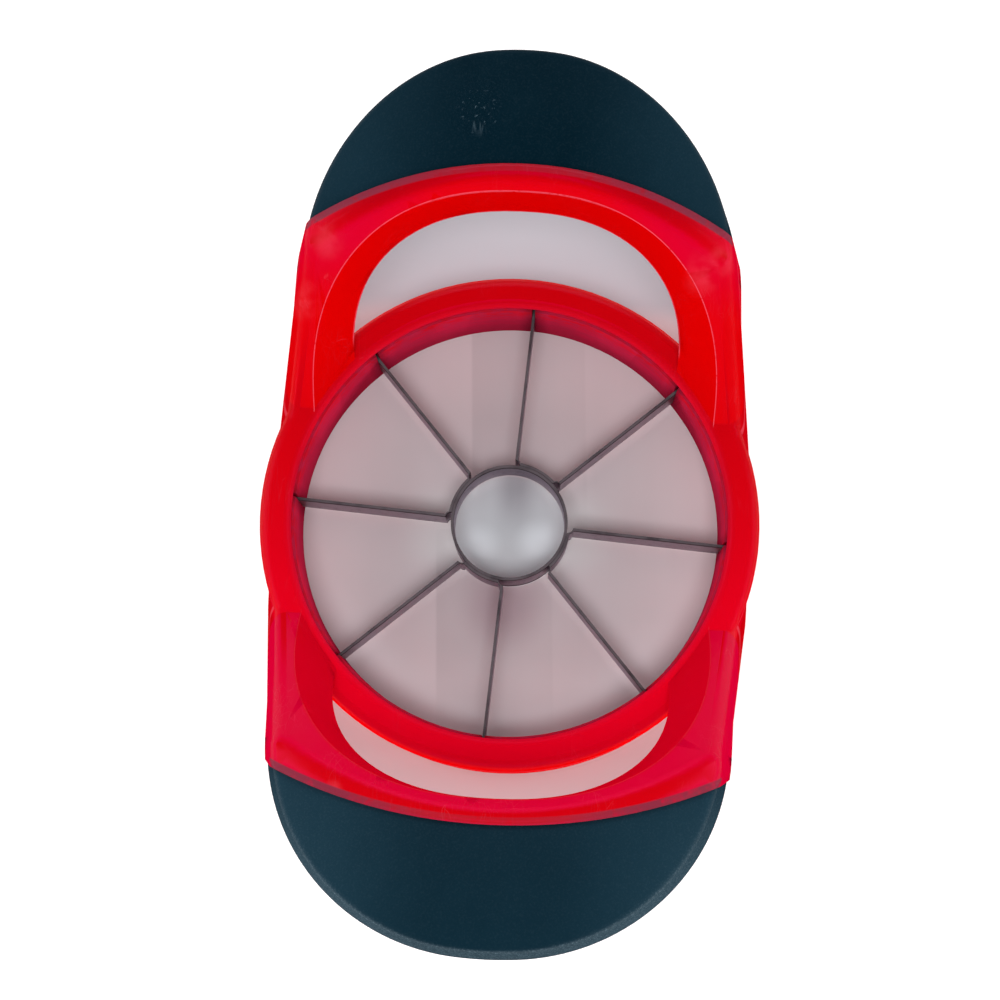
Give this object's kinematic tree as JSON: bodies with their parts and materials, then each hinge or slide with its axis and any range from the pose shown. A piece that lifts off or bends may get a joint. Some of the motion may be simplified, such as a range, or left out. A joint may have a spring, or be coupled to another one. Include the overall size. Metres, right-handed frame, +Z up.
{
  "type": "apple slicer and corer",
  "caption": "Push-down fruit slicer: a round plastic frame with raised loop handles and soft grips, and a star of steel blades round a coring tube.",
  "frame": {"origin": "centre of the ring on the surface it stands on, at the bottom centre of the bounding box", "axes": "+Z up through the coring tube, +Y along the line of the two handles, +X across the ring"},
  "size_m": [0.1032, 0.1704, 0.0591],
  "materials": {
    "frame_plastic": "glossy moulded, slightly translucent",
    "carrier_plastic": "satin moulded",
    "tube_steel": "rolled stainless, dull",
    "blade_steel": "rolled stainless, ground edges",
    "grip_rubber": "matt soft-touch"
  },
  "bodies": {
    "root": {"body_frame": "frame_plastic", "blade_carrier_ring": "carrier_plastic", "core_ring": "tube_steel", "blade_strip_1": "blade_steel", "blade_strip_2": "blade_steel", "blade_strip_3": "blade_steel", "blade_strip_4": "blade_steel", "grip_back": "grip_rubber", "grip_front": "grip_rubber"}
  },
  "joints": []
}
